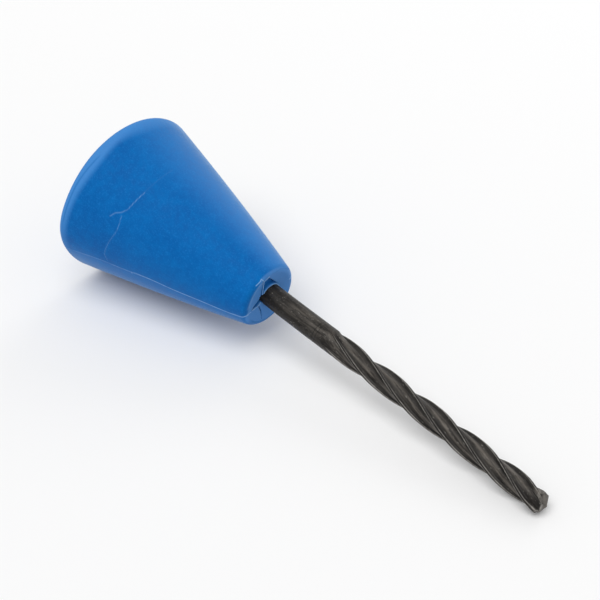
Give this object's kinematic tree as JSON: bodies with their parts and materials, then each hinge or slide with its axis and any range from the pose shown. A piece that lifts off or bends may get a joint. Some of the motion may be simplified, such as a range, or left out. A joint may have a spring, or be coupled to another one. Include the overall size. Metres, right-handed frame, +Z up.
{
  "type": "cone-handled hand reamer",
  "caption": "Helical-fluted hand reamer: a black steel bit with a plain shank and a ground point, pushed off centre into the torn nose of a blue moulded cone that is its handle.",
  "frame": {"origin": "floor point under the middle of the tool's box, as it lies at rest", "axes": "+X from the cone to the tip of the bit, +Z up, +Y to the side away from the leaning side of the bore"},
  "size_m": [0.1934, 0.0594, 0.0588],
  "materials": {
    "blue_rubber": "matte, dusty, creased and torn round the mouth",
    "black_oxide_steel": "worn black oxide, satin, brighter along the land edges"
  },
  "bodies": {
    "root": {"cone_handle": "blue_rubber", "fluted_bit": "black_oxide_steel"}
  },
  "joints": []
}
